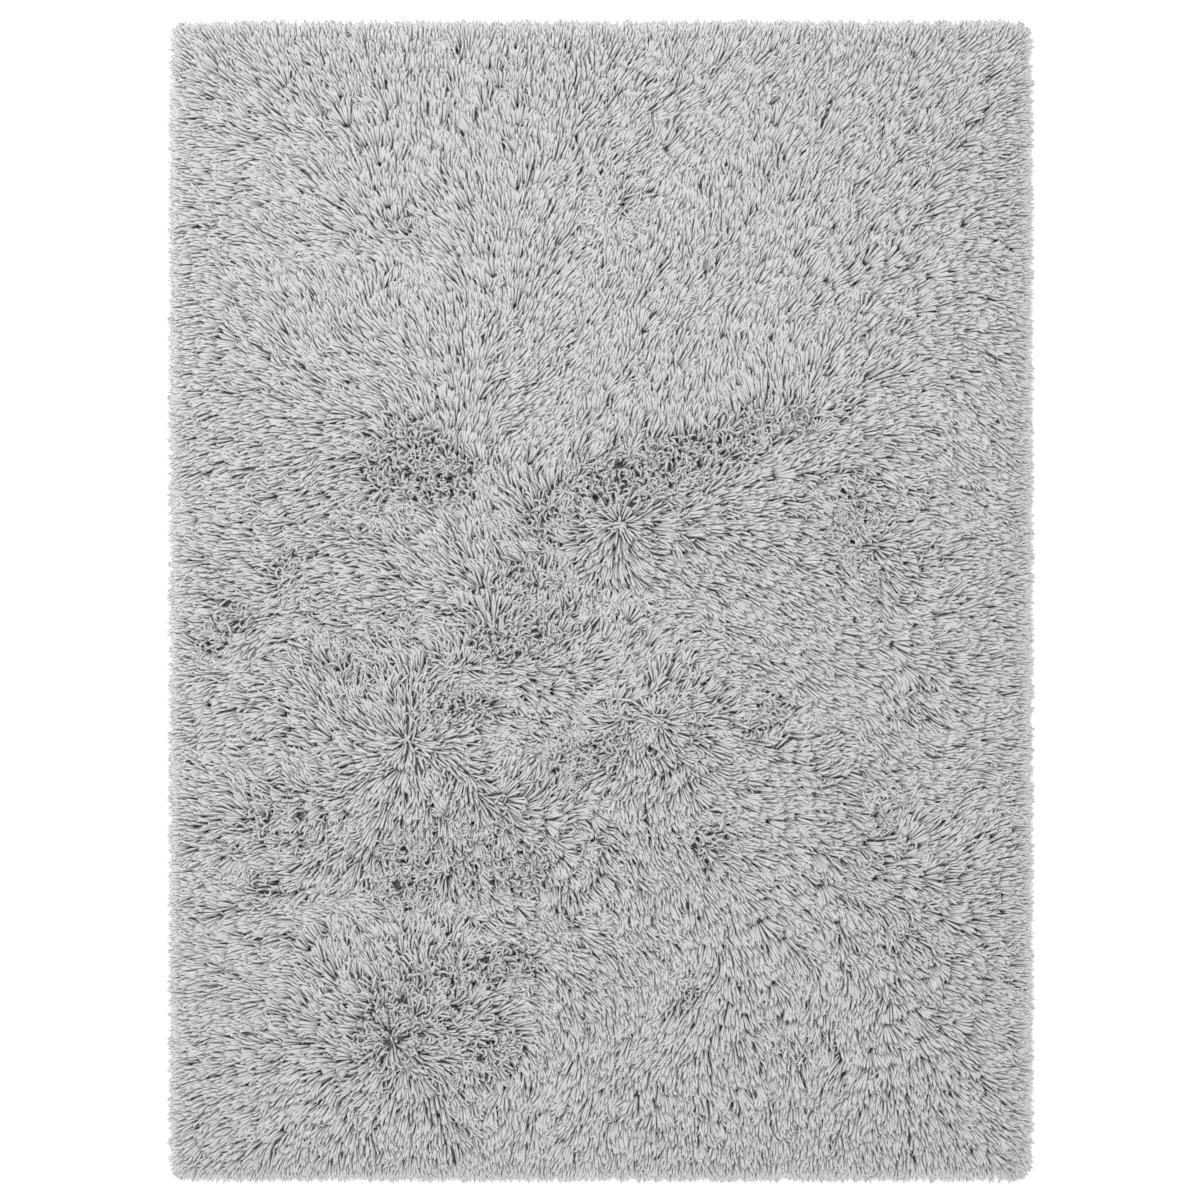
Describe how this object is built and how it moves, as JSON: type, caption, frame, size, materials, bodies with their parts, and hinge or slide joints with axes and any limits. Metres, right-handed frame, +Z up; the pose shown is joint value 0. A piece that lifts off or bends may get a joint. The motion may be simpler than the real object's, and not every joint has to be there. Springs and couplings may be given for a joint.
{
  "type": "shag rug",
  "caption": "Rectangular floor rug of long, soft, pale grey shag pile, brushed every way into locks, lying flat on its ground cloth.",
  "frame": {"origin": "the middle of the underside, on the floor", "axes": "+Z up out of the pile, +Y along the rug's length, +X along its width"},
  "size_m": [1.2, 1.612, 0.0368],
  "materials": {
    "pile": "matt long-pile yarn, darker at its roots"
  },
  "bodies": {
    "root": {"shag_pile": "pile"}
  },
  "joints": []
}
